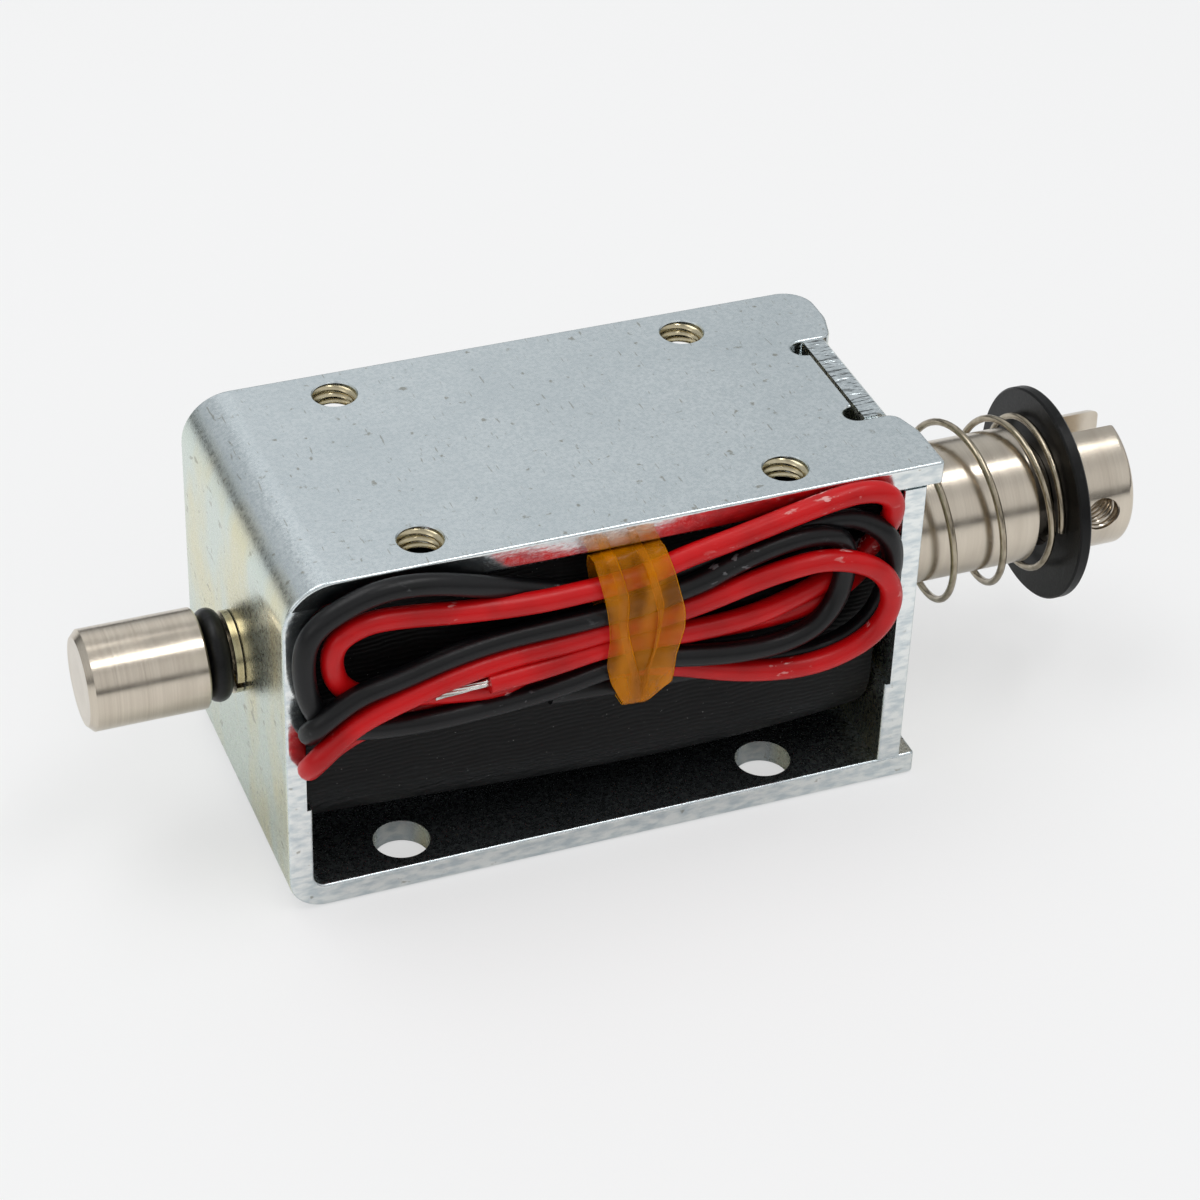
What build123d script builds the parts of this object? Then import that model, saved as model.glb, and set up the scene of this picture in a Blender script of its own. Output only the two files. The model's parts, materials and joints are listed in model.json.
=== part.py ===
"""Open-frame push-pull solenoid.

Millimetres. X runs along the plunger axis, towards the slotted end of the plunger. The open side with
the leads faces -Y. The origin is the middle of the frame's base face, and +Z is up.
"""
import os
from math import atan2, cos, degrees, pi, radians, sin, tan

from build123d import *

# Frame: one bent strip and a separate end plate
frame_length = 53.0
frame_width = 27.2
frame_height = 30.4
sheet = 2.0
top_bend_radius = 4.0
base_bend_radius = 3.0
sheared_edge_radius = 0.25

# Holes in the two long plates
thread_radius = 1.75
thread_lead_in = 0.1
top_hole_pitch_x = 29.3
top_hole_edge = 3.2
top_hole_shift = -0.2
base_hole_radius = 2.25
base_hole_pitch_x = 30.8
base_hole_edge = 3.3
base_hole_shift = -1.0

# End plate, its two tabs and the notches that they are peened into
end_plate_inset = 1.35
tab_width = 11.8
tab_side_clearance = 0.15
tab_back_clearance = 0.3
tab_bevel = 0.3
relief_radius = 1.0
ear_flare_length = 0.8
ear_flare_width = 2.8
ear_corner_radius = 1.2
ear_nose_radius = 3.0
back_corner_radius = 2.5
front_corner_radius = 0.4
plate_fit_gap = 0.02
recess_depth = 0.45
recess_height = 11.8

# Height of the plunger's axis above the middle of the frame
axis_rise = 0.4

# Coil: bobbin, winding and the tape round it
coil_set_back = 1.6
coil_top_gap = 0.2
coil_corner_radius = 6.5
coil_end_gap = 0.3
crown_x = 12.0
left_end_drop = 0.8
right_end_drop = 0.5
wrap_thickness = 0.4
flange_thickness = 1.2
flange_gap = 0.05
bobbin_tube_wall = 0.8
tube_fit_gap = 0.05

# Guide tube and pole piece
guide_wall = 0.3
guide_clearance = 0.1
guide_overlap = 10.0
pole_fit_gap = 0.03
spigot_radius = 3.1
seat_gap = 0.3

# Plunger
stroke = 10.0
plunger_radius = 5.65
nose_tip_x = 1.0
nose_length = 4.5
nose_tip_radius = 2.9
body_end_x = 40.3
neck_radius = 4.0
neck_length = 3.15
head_length = 5.75
head_round = 0.5
body_edge = 0.25
clevis_slot_width = 2.8
clevis_slot_depth = 5.0
clevis_slot_offset = 0.35
clevis_turn = 3.0
cross_thread_radius = 1.5
cross_hole_from_end = 3.0

# Black washer that carries the spring, and hangs on the neck
washer_radius = 9.0
washer_thickness = 1.05
washer_bore_gap = 0.4
washer_drop = 0.35
washer_seat_gap = 0.05
washer_edge = 0.15

# Return spring
spring_wire_radius = 0.3
spring_large_radius = 8.0
spring_small_radius = 6.4
spring_end_gap = 0.05
large_end_pitch = 1.45
small_end_pitch = 0.85
active_turns = 3

# Push rod and what it carries outside the left wall
rod_radius = 1.9
rod_guide_clearance = 0.1
rod_socket_depth = 8.0
cap_radius = 4.0
cap_length = 9.4
cap_chamfer = 0.5
cap_edge = 0.15
cap_socket_depth = 6.0
stop_ring_radius = 3.25
stop_ring_thickness = 0.55
stop_ring_split = 0.7
stop_ring_split_angle = 200.0
wall_gap = 0.1
bumper_section_radius = 0.9
bumper_side_gap = 0.2

# Leads, their hank and the film band round it
lead_diameter = 1.75
lead_core_radius = 0.45
bend_share = 0.45
hank_front_depth = 2.0
hank_inner_depth = 1.8
hank_back_gap = 0.1
pocket_length = 5.5
pocket_height = 1.4
band_film = 0.25
band_gap = 0.05
band_corner_radius = 1.4
band_left_x = -1.5
band_width = 5.9
band_height = 14.1
band_top_gap = 0.4
tinned_length = 4.5

# Places that follow from these sizes
left_x = -frame_length / 2
right_x = frame_length / 2
wall_inner_x = left_x + sheet
end_plate_outer_x = right_x - end_plate_inset
end_plate_inner_x = end_plate_outer_x - sheet
side_y = frame_width / 2
top_inner_z = frame_height - sheet
top_hole_pitch_y = frame_width - 2 * top_hole_edge
base_hole_pitch_y = frame_width - 2 * base_hole_edge
axis_height = frame_height / 2 + axis_rise
coil_half_width = side_y - coil_set_back
coil_half_height = top_inner_z - coil_top_gap - axis_height
notch_half_width = tab_width / 2 + tab_side_clearance
notch_floor_x = end_plate_inner_x - tab_back_clearance
flare_start_x = right_x - ear_flare_length
flare_end_y = notch_half_width + ear_flare_width
guide_inner_radius = plunger_radius + guide_clearance
guide_outer_radius = guide_inner_radius + guide_wall
bobbin_bore_radius = guide_outer_radius + tube_fit_gap
bobbin_tube_radius = bobbin_bore_radius + bobbin_tube_wall
coil_left_x = wall_inner_x + coil_end_gap
coil_right_x = end_plate_inner_x - coil_end_gap
seat_rim_x = nose_tip_x + nose_length - stroke - seat_gap
head_start_x = body_end_x + neck_length
plunger_end_x = head_start_x + head_length
washer_outer_x = head_start_x - washer_seat_gap
washer_inner_x = washer_outer_x - washer_thickness
stop_ring_x = left_x - wall_gap - stop_ring_thickness
cap_inner_x = stop_ring_x - 2 * (bumper_section_radius + bumper_side_gap)
cap_outer_x = cap_inner_x - cap_length
hank_back_y = -coil_half_width - hank_back_gap
hank_middle_y = hank_back_y - hank_inner_depth
hank_front_y = hank_middle_y - hank_front_depth
lead_behind_y = hank_back_y - lead_diameter / 2

# Half the width of the box in which an edge is looked for
tolerance = 0.01

# Planes: side_plane draws a lengthwise section, and the others draw across the plunger axis
axis_origin = (0, 0, axis_height)
side_plane = Plane(origin=axis_origin, x_dir=(1, 0, 0), z_dir=(0, -1, 0))
plunger_axis = Axis(axis_origin, (1, 0, 0))
head_frame = Plane(
    origin=(plunger_end_x, 0, axis_height),
    x_dir=(1, 0, 0),
    z_dir=(0, -cos(radians(clevis_turn)), sin(radians(clevis_turn))),
)


def cross_plane(x):
    """Plane across the plunger axis at x: its own x is the part's Y, and its own y is the part's Z."""
    return Plane(origin=(x, 0, axis_height), x_dir=(0, 1, 0), z_dir=(1, 0, 0))


# Frame channel: base plate, left wall and top plate in one strip
with BuildPart() as frame_channel:
    with BuildSketch(Plane.XZ) as strip:
        with Locations((0, frame_height / 2)):
            Rectangle(frame_length, frame_height)
        left_corners = strip.vertices().group_by(Axis.X)[0].sort_by(Axis.Y)
        fillet(left_corners[0], base_bend_radius)
        left_corners = strip.vertices().group_by(Axis.X)[0].sort_by(Axis.Y)
        fillet(left_corners[-1], top_bend_radius)
        with BuildSketch(mode=Mode.SUBTRACT) as hollow:
            with Locations((sheet, frame_height / 2)):
                Rectangle(frame_length, frame_height - 2 * sheet)
            left_corners = hollow.vertices().group_by(Axis.X)[0].sort_by(Axis.Y)
            fillet(left_corners[0], base_bend_radius - sheet)
            left_corners = hollow.vertices().group_by(Axis.X)[0].sort_by(Axis.Y)
            fillet(left_corners[-1], top_bend_radius - sheet)
    extrude(amount=frame_width / 2, both=True)
    # Notches for the tabs, cut through both plates: round reliefs inside and a flared mouth
    with BuildSketch(Plane.XY.offset(frame_height)):
        with Locations((notch_floor_x, 0)):
            Rectangle(frame_length, 2 * notch_half_width, align=(Align.MIN, Align.CENTER))
        with Locations((notch_floor_x, 0)):
            with GridLocations(0, 2 * (notch_half_width - relief_radius), 1, 2):
                Circle(relief_radius)
        with BuildLine():
            Polyline(
                (flare_start_x, 0),
                (flare_start_x, notch_half_width),
                (right_x, flare_end_y),
                (right_x, 0),
                close=True,
            )
        make_face()
        mirror(about=Plane.XZ)
    extrude(amount=-frame_height, mode=Mode.SUBTRACT)
    # Corners of the ears beside the notches, and outer corners of both plates
    for corner_x, corner_y, radius in (
        (flare_start_x, notch_half_width, ear_corner_radius),
        (flare_start_x, -notch_half_width, ear_corner_radius),
        (right_x, flare_end_y, ear_nose_radius),
        (right_x, -flare_end_y, ear_nose_radius),
        (right_x, side_y, back_corner_radius),
        (right_x, -side_y, front_corner_radius),
    ):
        corner_edges = frame_channel.edges().filter_by(Axis.Z)
        corner_edges = corner_edges.filter_by_position(Axis.X, corner_x - tolerance, corner_x + tolerance)
        corner_edges = corner_edges.filter_by_position(Axis.Y, corner_y - tolerance, corner_y + tolerance)
        fillet(corner_edges, radius)
    # Sheared edges of the strip, along both of its sides
    for side in (0, -1):
        side_edges = frame_channel.edges().group_by(Axis.Y)[side]
        wall_edges = side_edges.filter_by(Axis.Z).filter_by_position(Axis.X, left_x, wall_inner_x)
        fillet(side_edges.filter_by(Axis.Z, reverse=True) + wall_edges, sheared_edge_radius)
    # Recess pressed into the wall's inner face, across its whole width
    with Locations((wall_inner_x, 0, axis_height)):
        Box(2 * recess_depth, frame_width, recess_height, mode=Mode.SUBTRACT)
    # Tapped holes in the top plate and clearance holes in the base plate
    with Locations((top_hole_shift, 0, frame_height)):
        with GridLocations(top_hole_pitch_x, top_hole_pitch_y, 2, 2):
            CounterSinkHole(thread_radius, thread_radius + thread_lead_in, sheet)
    with Locations((base_hole_shift, 0, sheet)):
        with GridLocations(base_hole_pitch_x, base_hole_pitch_y, 2, 2):
            Hole(base_hole_radius, sheet)
    # Hole in the left wall for the spigot of the pole piece
    with BuildSketch(cross_plane(left_x)):
        Circle(spigot_radius + plate_fit_gap)
    extrude(amount=sheet, mode=Mode.SUBTRACT)

# End plate with a tab at its top and its foot
with BuildPart() as end_plate:
    with BuildSketch(Plane.YZ.offset(end_plate_inner_x)):
        with Locations((0, frame_height / 2)):
            Rectangle(frame_width, frame_height - 2 * (sheet + plate_fit_gap))
            Rectangle(tab_width, frame_height)
        with Locations((0, axis_height)):
            Circle(guide_outer_radius + tube_fit_gap, mode=Mode.SUBTRACT)
    extrude(amount=sheet)
    plate_sides = end_plate.edges().filter_by(Axis.Z).group_by(Axis.Y)
    fillet(plate_sides[0] + plate_sides[-1], sheared_edge_radius)
    outer_edges = end_plate.edges().filter_by(Axis.Y).group_by(Axis.X)[-1].sort_by(Axis.Z)
    chamfer([outer_edges[0], outer_edges[-1]], tab_bevel)
    with Locations((end_plate_inner_x, 0, axis_height)):
        Box(2 * recess_depth, frame_width, recess_height, mode=Mode.SUBTRACT)

# Pole piece: fixed core with a conical seat, staked into the left wall
with BuildPart() as pole_piece:
    with BuildSketch(side_plane):
        with BuildLine():
            Polyline(
                (left_x, rod_radius + rod_guide_clearance),
                (left_x, spigot_radius),
                (wall_inner_x, spigot_radius),
                (wall_inner_x, guide_inner_radius - pole_fit_gap),
                (seat_rim_x, guide_inner_radius - pole_fit_gap),
                (seat_rim_x, plunger_radius),
                (seat_rim_x - nose_length, nose_tip_radius),
                (seat_rim_x - nose_length, rod_radius + rod_guide_clearance),
                close=True,
            )
        make_face()
    revolve(axis=plunger_axis)

# Guide tube that the plunger runs in, pushed over the pole piece
with BuildPart() as guide_tube:
    with BuildSketch(cross_plane(seat_rim_x - guide_overlap)):
        Circle(guide_outer_radius)
        Circle(guide_inner_radius, mode=Mode.SUBTRACT)
    extrude(amount=end_plate_outer_x - seat_rim_x + guide_overlap)


def coil_form(inset):
    """Crowned bar of rounded-square section with the outline of the wrapped coil, less inset."""
    sections = (
        (coil_left_x, left_end_drop),
        ((coil_left_x + crown_x) / 2, left_end_drop / 4),
        (crown_x, 0),
        (coil_right_x, right_end_drop),
    )
    with BuildPart() as form:
        for x, drop in sections:
            less = drop + inset
            with BuildSketch(cross_plane(x)):
                RectangleRounded(
                    2 * (coil_half_width - less), 2 * (coil_half_height - less), coil_corner_radius - inset
                )
        loft()
    return form.part


# Bobbin: tube with a flange at each end
with BuildPart() as bobbin:
    with BuildSketch(cross_plane(coil_left_x)):
        Circle(bobbin_tube_radius)
    extrude(amount=coil_right_x - coil_left_x)
    flange_inset = left_end_drop + wrap_thickness + flange_gap
    for flange_x in (coil_left_x, coil_right_x - flange_thickness):
        with BuildSketch(cross_plane(flange_x)):
            RectangleRounded(
                2 * (coil_half_width - flange_inset),
                2 * (coil_half_height - flange_inset),
                coil_corner_radius - wrap_thickness - flange_gap,
            )
        extrude(amount=flange_thickness)
    with BuildSketch(cross_plane(coil_left_x)):
        Circle(bobbin_bore_radius)
    extrude(amount=coil_right_x - coil_left_x, mode=Mode.SUBTRACT)

# Winding of enamelled copper wire between the flanges
with BuildPart() as coil_winding:
    add(coil_form(wrap_thickness + flange_gap))
    split(bisect_by=cross_plane(coil_left_x + flange_thickness + flange_gap), keep=Keep.TOP)
    split(bisect_by=cross_plane(coil_right_x - flange_thickness - flange_gap), keep=Keep.BOTTOM)
    with BuildSketch(cross_plane(coil_left_x)):
        Circle(bobbin_tube_radius + flange_gap)
    extrude(amount=frame_length, mode=Mode.SUBTRACT)

# Cloth tape round the winding
with BuildPart() as coil_wrap:
    add(coil_form(0))
    add(coil_form(wrap_thickness), mode=Mode.SUBTRACT)

# Plunger: conical nose, body, neck for the washer, and a slotted head with a cross hole
with BuildPart() as plunger:
    with BuildSketch(side_plane) as plunger_section:
        with BuildLine():
            Polyline(
                (nose_tip_x, 0),
                (nose_tip_x, nose_tip_radius),
                (nose_tip_x + nose_length, plunger_radius),
                (body_end_x, plunger_radius),
                (body_end_x, neck_radius),
                (head_start_x, neck_radius),
                (head_start_x, plunger_radius),
                (plunger_end_x, plunger_radius),
                (plunger_end_x, 0),
                close=True,
            )
        make_face()
        rim = plunger_section.vertices().group_by(Axis.Y)[-1].sort_by(Axis.X)
        fillet(rim[3], head_round)
        chamfer([rim[1], rim[2]], body_edge)
    revolve(axis=plunger_axis)
    with BuildSketch(cross_plane(nose_tip_x)):
        Circle(rod_radius)
    extrude(amount=rod_socket_depth, mode=Mode.SUBTRACT)
    # Slot and tapped cross hole, both turned about the axis by clevis_turn
    with BuildSketch(head_frame.offset(-clevis_slot_offset)):
        Rectangle(2 * clevis_slot_depth, 4 * plunger_radius)
    extrude(amount=clevis_slot_width / 2, both=True, mode=Mode.SUBTRACT)
    with Locations(head_frame.offset(plunger_radius)):
        with Locations((-cross_hole_from_end, 0)):
            CounterSinkHole(cross_thread_radius, cross_thread_radius + thread_lead_in, 2 * plunger_radius)

# Push rod, pressed into the plunger and the end cap
with BuildPart() as push_rod:
    with BuildSketch(cross_plane(cap_inner_x - cap_socket_depth)):
        Circle(rod_radius)
    extrude(amount=nose_tip_x + rod_socket_depth - cap_inner_x + cap_socket_depth)

# End cap: turned steel, chamfered at its free end
with BuildPart() as end_cap:
    with BuildSketch(cross_plane(cap_outer_x)):
        Circle(cap_radius)
    extrude(amount=cap_length)
    chamfer(end_cap.edges().group_by(Axis.X)[0], cap_chamfer)
    chamfer(end_cap.edges().group_by(Axis.X)[-1], cap_edge)
    with BuildSketch(cross_plane(cap_inner_x - cap_socket_depth)):
        Circle(rod_radius)
    extrude(amount=cap_socket_depth, mode=Mode.SUBTRACT)

# Rubber bumper ring between the cap and the stop ring
with BuildPart() as bumper_ring:
    with BuildSketch(side_plane):
        with Locations(((cap_inner_x + stop_ring_x) / 2, rod_radius + bumper_section_radius)):
            Circle(bumper_section_radius)
    revolve(axis=plunger_axis)

# Split steel ring that meets the wall
with BuildPart() as stop_ring:
    with BuildSketch(cross_plane(stop_ring_x)):
        Circle(stop_ring_radius)
        Circle(rod_radius, mode=Mode.SUBTRACT)
        with Locations(Location((0, 0), stop_ring_split_angle)):
            Rectangle(
                2 * stop_ring_radius, stop_ring_split, align=(Align.MIN, Align.CENTER), mode=Mode.SUBTRACT
            )
    extrude(amount=stop_ring_thickness)

# Black washer on the neck of the plunger
with BuildPart() as spring_washer:
    with BuildSketch(cross_plane(washer_inner_x)):
        with Locations((0, -washer_drop)):
            Circle(washer_radius)
            Circle(neck_radius + washer_bore_gap, mode=Mode.SUBTRACT)
    extrude(amount=washer_thickness)
    rims = spring_washer.edges().filter_by(GeomType.CIRCLE).group_by(SortBy.RADIUS)[-1]
    chamfer(rims, washer_edge)

# Return spring, coiled upright: a closed turn at each end, and open turns that narrow towards the washer
with BuildPart() as upright_spring:
    large_end_x = end_plate_outer_x + spring_end_gap + spring_wire_radius
    small_end_x = washer_inner_x - spring_end_gap - spring_wire_radius
    active_start_x = large_end_x + large_end_pitch
    active_end_x = small_end_x - small_end_pitch
    active_length = active_end_x - active_start_x
    taper = atan2(spring_large_radius - spring_small_radius, active_length)
    active_pitch = active_length / active_turns / cos(taper)
    with BuildLine() as spring_line:
        Helix(large_end_pitch, large_end_pitch, spring_large_radius, center=(0, 0, large_end_x))
        Helix(active_pitch, active_length, spring_large_radius, center=(0, 0, active_start_x),
              cone_angle=-degrees(taper))
        Helix(small_end_pitch, small_end_pitch, spring_small_radius, center=(0, 0, active_end_x))
    with BuildSketch(Plane(origin=spring_line.line @ 0, z_dir=spring_line.line % 0)):
        Circle(spring_wire_radius)
    sweep(path=spring_line.line, is_frenet=True)

with BuildPart() as return_spring:
    with Locations(Plane(origin=axis_origin, x_dir=(0, -1, 0), z_dir=(1, 0, 0))):
        add(upright_spring.part)

# Routes of the two leads, from inside the tape to the hank. They are measured from lead_origin, which lies
# behind the hank at the height of the top plate's inner face
lead_origin = (0, lead_behind_y, top_inner_z)
red_route = ((22.2, 2.625, -8.5), (19.6, 0.775, -8.8), (16.5, 0, -9.4), (13.5, 0, -10.0), (10.6, 0, -10.0))
black_route = ((22.2, 2.625, -5.2), (19.6, 0.775, -5.1), (16.5, 0, -5.0), (13.5, 0, -5.4), (10.6, 0, -5.4))


def bend_radii(route):
    """One radius per corner of a route, as large as its two runs allow."""
    radii = []
    for before, corner, after in zip(route, route[1:], route[2:]):
        run_in = Vector(*corner) - Vector(*before)
        run_out = Vector(*after) - Vector(*corner)
        half_turn = radians(run_in.get_angle(run_out)) / 2
        radii.append(bend_share * min(run_in.length, run_out.length) / tan(half_turn))
    return radii


def lead_tube(route, label):
    """Plain tube along a lead's route."""
    radii = bend_radii(route)
    with BuildPart() as tube:
        with BuildLine() as path:
            FilletPolyline(*route, radius=radii)
        with BuildSketch(Plane(origin=path.line @ 0, z_dir=path.line % 0)):
            Circle(lead_diameter / 2)
        sweep(path=path.line)
    length = path.wires()[0].length
    section = pi * (lead_diameter / 2) ** 2
    shown = ", ".join(f"{radius:.1f}" for radius in radii)
    print(f"{label}: length {length:.1f} mm, bend radii {shown} mm")
    print(f"{label}: volume {tube.part.volume:.2f}, section times length {section * length:.2f}")
    return tube.part


with BuildPart() as red_lead:
    with Locations(lead_origin):
        add(lead_tube(red_route, "red_lead"))
    add(coil_form(0), mode=Mode.SUBTRACT)

with BuildPart() as black_lead:
    with Locations(lead_origin):
        add(lead_tube(black_route, "black_lead"))
    add(coil_form(0), mode=Mode.SUBTRACT)

# Hank of both leads: two lobes in front of the frame and a core that lies in its opening. Each circle gives
# x, the height above the top plate's inner face, and the radius
waist = (1.45, -7.4, 6.7)
left_lobe = ((-24.3, -1.5, 2.1), (-17.0, -0.2, 2.1), (-25.3, -13.6, 1.1), waist)
right_lobe = ((20.3, -0.5, 2.9), (15.0, -0.5, 2.8), (19.4, -10.8, 3.9), (14.7, -13.3, 1.9), waist)
core_corners = ((9.0, -4.5, 1.6), (9.0, -11.0, 1.6), (-3.9, -4.5, 1.6), (-3.9, -11.0, 1.6))
tinned_red = (-10.7, hank_middle_y - hank_front_depth / 2, top_inner_z - 9.4)
tinned_black = (-5.5, lead_behind_y, top_inner_z - 7.8)
band_middle = ((hank_back_y + hank_front_y) / 2, top_inner_z - band_top_gap - band_height / 2)


def hull_slab(circles, near_y, far_y):
    """Convex outline round some circles, drawn in XZ and extruded from near_y to far_y."""
    with BuildPart() as slab:
        with BuildSketch(Plane(origin=(0, near_y, top_inner_z), x_dir=(1, 0, 0), z_dir=(0, -1, 0))):
            with BuildSketch(mode=Mode.PRIVATE) as rounds:
                for x, z, radius in circles:
                    with Locations((x, z)):
                        Circle(radius)
            make_hull(rounds.edges())
        extrude(amount=near_y - far_y)
    return slab.part


def band_outline(inset):
    """Rounded outline of the band's cross section, less inset all round."""
    with BuildSketch() as outline:
        RectangleRounded(
            hank_back_y - hank_front_y - 2 * inset,
            band_height - 2 * inset,
            band_corner_radius - inset,
        )
    return outline.sketch


with BuildPart() as lead_hank:
    add(hull_slab(left_lobe, hank_middle_y, hank_front_y))
    add(hull_slab(right_lobe, hank_middle_y, hank_front_y))
    add(hull_slab(core_corners, hank_back_y, hank_middle_y))
    # Pocket in which the tinned end of the red lead lies
    with Locations(tinned_red):
        Box(pocket_length, 2 * hank_front_depth, pocket_height,
            align=(Align.MAX, Align.CENTER, Align.CENTER), mode=Mode.SUBTRACT)
    # Waist drawn in by the band
    with BuildSketch(Plane.YZ.offset(band_left_x - band_gap)):
        with Locations(band_middle):
            Rectangle(frame_width, frame_width)
            add(band_outline(band_film + band_gap), mode=Mode.SUBTRACT)
    extrude(amount=band_width + 2 * band_gap, mode=Mode.SUBTRACT)

# Film band round the waist of the hank
with BuildPart() as lead_band:
    with BuildSketch(Plane.YZ.offset(band_left_x)):
        with Locations(band_middle):
            add(band_outline(0))
            add(band_outline(band_film), mode=Mode.SUBTRACT)
    extrude(amount=band_width)

# Tinned ends of the leads
with BuildPart() as red_lead_end:
    with Locations(Plane(origin=tinned_red, z_dir=(-1, 0, 0))):
        Cylinder(lead_core_radius, tinned_length, align=(Align.CENTER, Align.CENTER, Align.MIN))

with BuildPart() as black_lead_end:
    with Locations(Plane(origin=tinned_black, z_dir=(-1, 0, 0))):
        Cylinder(lead_core_radius, tinned_length, align=(Align.CENTER, Align.CENTER, Align.MIN))

# Each piece goes to a file of its own, named as its label
pieces = {
    "frame_channel": frame_channel,
    "end_plate": end_plate,
    "pole_piece": pole_piece,
    "guide_tube": guide_tube,
    "bobbin": bobbin,
    "coil_winding": coil_winding,
    "coil_wrap": coil_wrap,
    "plunger": plunger,
    "push_rod": push_rod,
    "end_cap": end_cap,
    "bumper_ring": bumper_ring,
    "stop_ring": stop_ring,
    "spring_washer": spring_washer,
    "return_spring": return_spring,
    "red_lead": red_lead,
    "black_lead": black_lead,
    "lead_hank": lead_hank,
    "lead_band": lead_band,
    "red_lead_end": red_lead_end,
    "black_lead_end": black_lead_end,
}
os.makedirs("parts", exist_ok=True)
for label, piece in pieces.items():
    piece.part.label = label
    export_step(piece.part, f"parts/{label}.step")
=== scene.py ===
# %% [markdown]
# # An open-frame solenoid
# A solenoid is a coil of wire in a steel frame. Current in the coil pulls a steel plunger in, and a spring
# pushes it out again. The CAD model brings every rigid piece at its real size. This script gives each piece
# its finish, and makes what is soft or too fine for CAD: the folded leads, the film that ties them, the
# spring that has to flatten as the plunger moves, and the threads.

# %% Load the frame
import json
from math import cos, radians, sin, tau

import bmesh
import bpy
from mathutils import Matrix, Vector, noise


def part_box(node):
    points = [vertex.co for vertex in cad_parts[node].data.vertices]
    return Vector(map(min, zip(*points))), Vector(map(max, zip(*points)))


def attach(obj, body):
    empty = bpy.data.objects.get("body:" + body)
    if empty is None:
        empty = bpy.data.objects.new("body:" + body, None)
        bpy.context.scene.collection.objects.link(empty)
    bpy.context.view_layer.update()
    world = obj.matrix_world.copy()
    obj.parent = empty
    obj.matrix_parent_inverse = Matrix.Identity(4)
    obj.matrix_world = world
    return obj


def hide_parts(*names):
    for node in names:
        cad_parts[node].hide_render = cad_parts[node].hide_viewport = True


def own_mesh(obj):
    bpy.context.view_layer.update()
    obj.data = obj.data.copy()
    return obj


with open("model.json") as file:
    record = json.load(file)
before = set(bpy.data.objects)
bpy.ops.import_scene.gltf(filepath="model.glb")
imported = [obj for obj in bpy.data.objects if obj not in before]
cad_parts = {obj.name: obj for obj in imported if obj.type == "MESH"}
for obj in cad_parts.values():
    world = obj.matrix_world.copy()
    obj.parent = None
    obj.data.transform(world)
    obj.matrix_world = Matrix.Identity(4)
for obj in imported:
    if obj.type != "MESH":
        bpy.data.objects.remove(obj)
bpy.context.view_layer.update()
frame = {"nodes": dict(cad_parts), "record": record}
nodes = frame["nodes"]
MM = 0.001
print("pieces in the frame:", len(nodes))

# %% [markdown]
# ## Where the camera stands
# The picture was taken with a long lens from the front left and above. The position is in millimetres from
# the middle of the solenoid's foot, and the camera is turned a little about its own sight line.

# %% Camera
CAMERA_AT = (-79.93, -202.59, 172.45)
CAMERA_LOOKS = Vector((0.3094, 0.7477, -0.5875)).normalized()
CAMERA_ROLL = radians(2.135)
LENS = 101.07
SENSOR = 36.0

level = CAMERA_LOOKS.cross(Vector((0, 0, 1))).normalized()
upright = level.cross(CAMERA_LOOKS)
camera_right = cos(CAMERA_ROLL) * level + sin(CAMERA_ROLL) * upright
camera_up = cos(CAMERA_ROLL) * upright - sin(CAMERA_ROLL) * level

camera_data = bpy.data.cameras.new("camera")
camera_data.lens = LENS
camera_data.sensor_width = SENSOR
camera_data.clip_start = 0.01
camera = bpy.data.objects.new("camera", camera_data)
turn = Matrix((camera_right, camera_up, -CAMERA_LOOKS)).transposed().to_4x4()
camera.matrix_world = Matrix.Translation(Vector(CAMERA_AT) * MM) @ turn
bpy.context.scene.collection.objects.link(camera)
bpy.context.scene.camera = camera
bpy.context.scene.view_settings.view_transform = "Standard"
print("camera to the foot:", round(camera.location.length / MM), "mm")

# %% [markdown]
# ## Small helpers
# Colours are written as they look on a screen, in sRGB hex, and Blender calculates in linear light, so one
# function turns them. Another adds a node to a material, sets it up and joins it to the nodes before it.
# Noise is the base of most patterns here, so the last one makes noise whose spots have a real size.


# %% Helpers for colours, nodes and noise
def paint(text, alpha=1.0):
    """An sRGB hex colour as linear red, green, blue and alpha."""
    parts = [int(text[i:i + 2], 16) / 255 for i in (1, 3, 5)]
    return [c / 12.92 if c <= 0.04045 else ((c + 0.055) / 1.055) ** 2.4 for c in parts] + [alpha]


def add_node(tree, kind, *values, stops=(), **named):
    """A new node. Values go to its inputs in order, and so do names with a capital; other names are settings.

    A value is a number, a colour, a socket or a whole node, which gives its first output in use. Stops are
    the positions and colours of a colour ramp.
    """
    node = tree.nodes.new("ShaderNode" + kind)
    for name, value in named.items():
        if name[0].islower():
            setattr(node, name, value)
    for number, (position, colour) in enumerate(stops):
        node.color_ramp.elements[number].position = position
        node.color_ramp.elements[number].color = colour
    joins = list(zip([socket for socket in node.inputs if socket.enabled], values))
    for name, value in named.items():
        if name[0].isupper():
            joins.append((node.inputs[name.replace("_", " ")], value))
    for socket, value in joins:
        if isinstance(value, bpy.types.Node):
            value = next(output for output in value.outputs if output.enabled)
        if isinstance(value, bpy.types.NodeSocket):
            tree.links.new(value, socket)
        else:
            socket.default_value = value
    return node


def empty_material(name):
    """A material without nodes, and its node tree."""
    material = bpy.data.materials.new(name)
    material.use_nodes = True
    material.node_tree.nodes.clear()
    return material, material.node_tree


def grain(tree, size_mm, stretch=(1, 1, 1), detail=3.0, seed=0.0, place=None):
    """Noise whose spots are size_mm wide, drawn out along the axes where stretch is above 1."""
    if place is None:
        place = add_node(tree, "TexCoord").outputs["Object"]
    scale = [1 / (size_mm * MM * s) for s in stretch]
    spread = add_node(tree, "Mapping", Vector=place, Scale=scale, Location=(seed, seed, seed))
    return add_node(tree, "TexNoise", Vector=spread, Scale=1.0, Detail=detail)


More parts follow.
